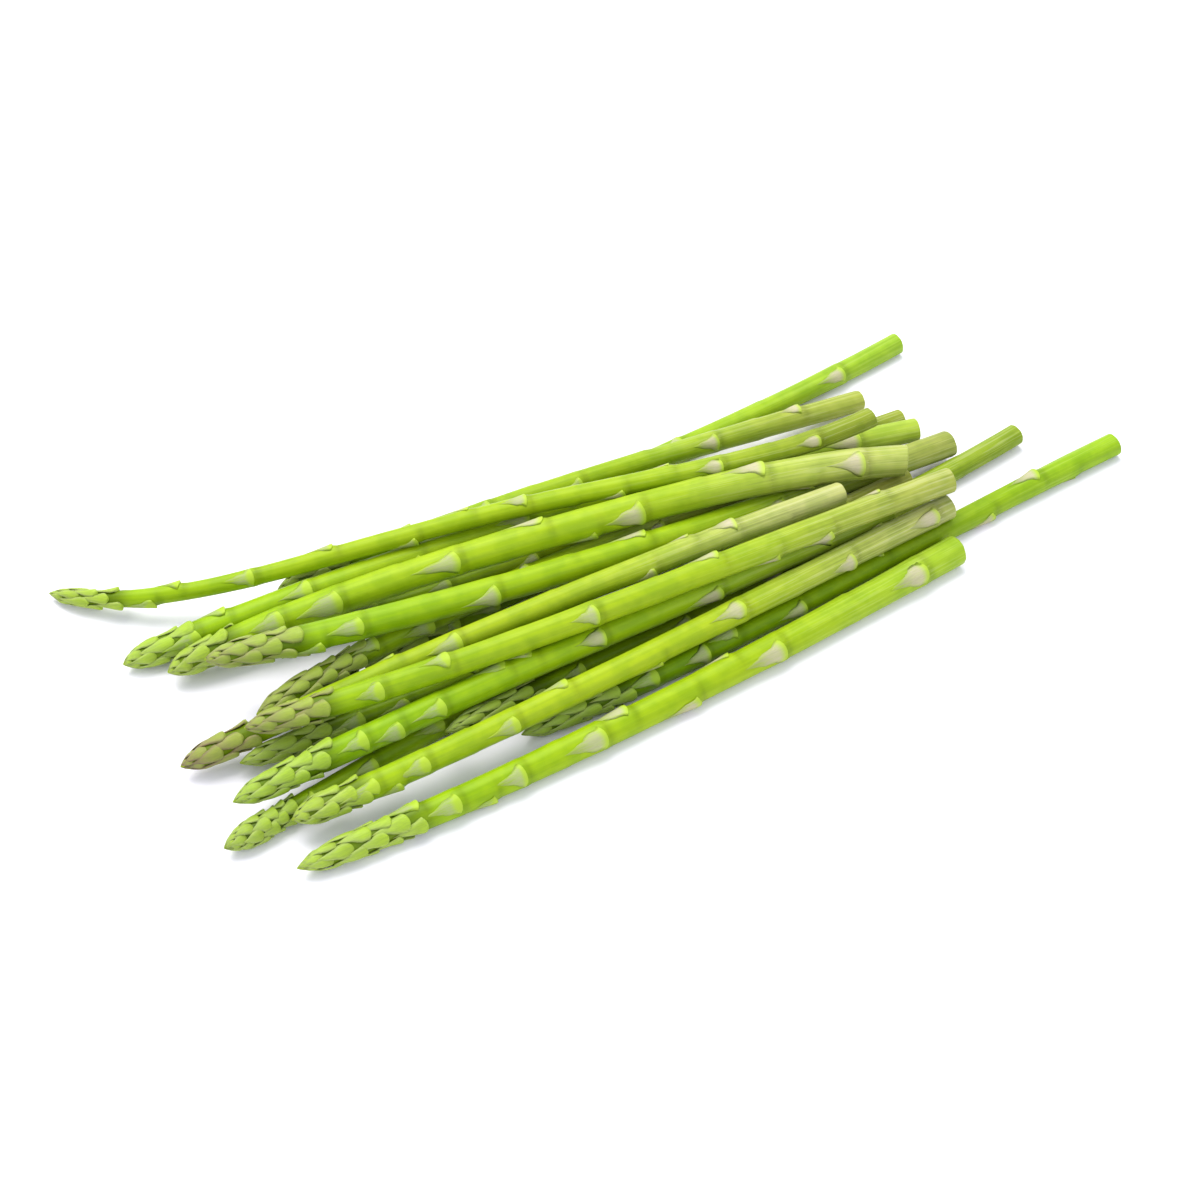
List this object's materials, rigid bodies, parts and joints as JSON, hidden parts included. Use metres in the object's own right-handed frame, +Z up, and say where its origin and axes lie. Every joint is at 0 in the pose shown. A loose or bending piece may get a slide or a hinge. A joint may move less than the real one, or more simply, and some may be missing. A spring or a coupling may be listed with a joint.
{
  "type": "bundle of asparagus",
  "caption": "A loose bundle of fresh green asparagus lying on its side: bowed stems with triangular bracts, scaly pointed heads at one end and cut butts at the other.",
  "frame": {"origin": "On the surface that the bundle lies on, under the middle of its box", "axes": "+X runs along the bundle from the heads to the cut butts, +Y across it towards the back, +Z up"},
  "size_m": [0.334, 0.2186, 0.0271],
  "materials": {
    "spear_01": "waxy fresh plant skin, satin",
    "spear_02": "waxy fresh plant skin, satin",
    "spear_03": "waxy fresh plant skin, satin",
    "spear_04": "waxy fresh plant skin, satin",
    "spear_05": "waxy fresh plant skin, satin",
    "spear_06": "waxy fresh plant skin, satin",
    "spear_07": "waxy fresh plant skin, satin",
    "spear_08": "waxy fresh plant skin, satin",
    "spear_09": "waxy fresh plant skin, satin",
    "spear_10": "waxy fresh plant skin, satin",
    "spear_11": "waxy fresh plant skin, satin",
    "spear_12": "waxy fresh plant skin, satin",
    "spear_13": "waxy fresh plant skin, satin",
    "spear_14": "waxy fresh plant skin, satin",
    "spear_15": "waxy fresh plant skin, satin",
    "spear_16": "waxy fresh plant skin, satin",
    "spear_17": "waxy fresh plant skin, satin",
    "spear_18": "waxy fresh plant skin, satin"
  },
  "bodies": {
    "root": {"spear_01": "spear_01", "spear_02": "spear_02", "spear_03": "spear_03", "spear_04": "spear_04", "spear_05": "spear_05", "spear_06": "spear_06", "spear_07": "spear_07", "spear_08": "spear_08", "spear_09": "spear_09", "spear_10": "spear_10", "spear_11": "spear_11", "spear_12": "spear_12", "spear_13": "spear_13", "spear_14": "spear_14", "spear_15": "spear_15", "spear_16": "spear_16", "spear_17": "spear_17", "spear_18": "spear_18"}
  },
  "joints": []
}
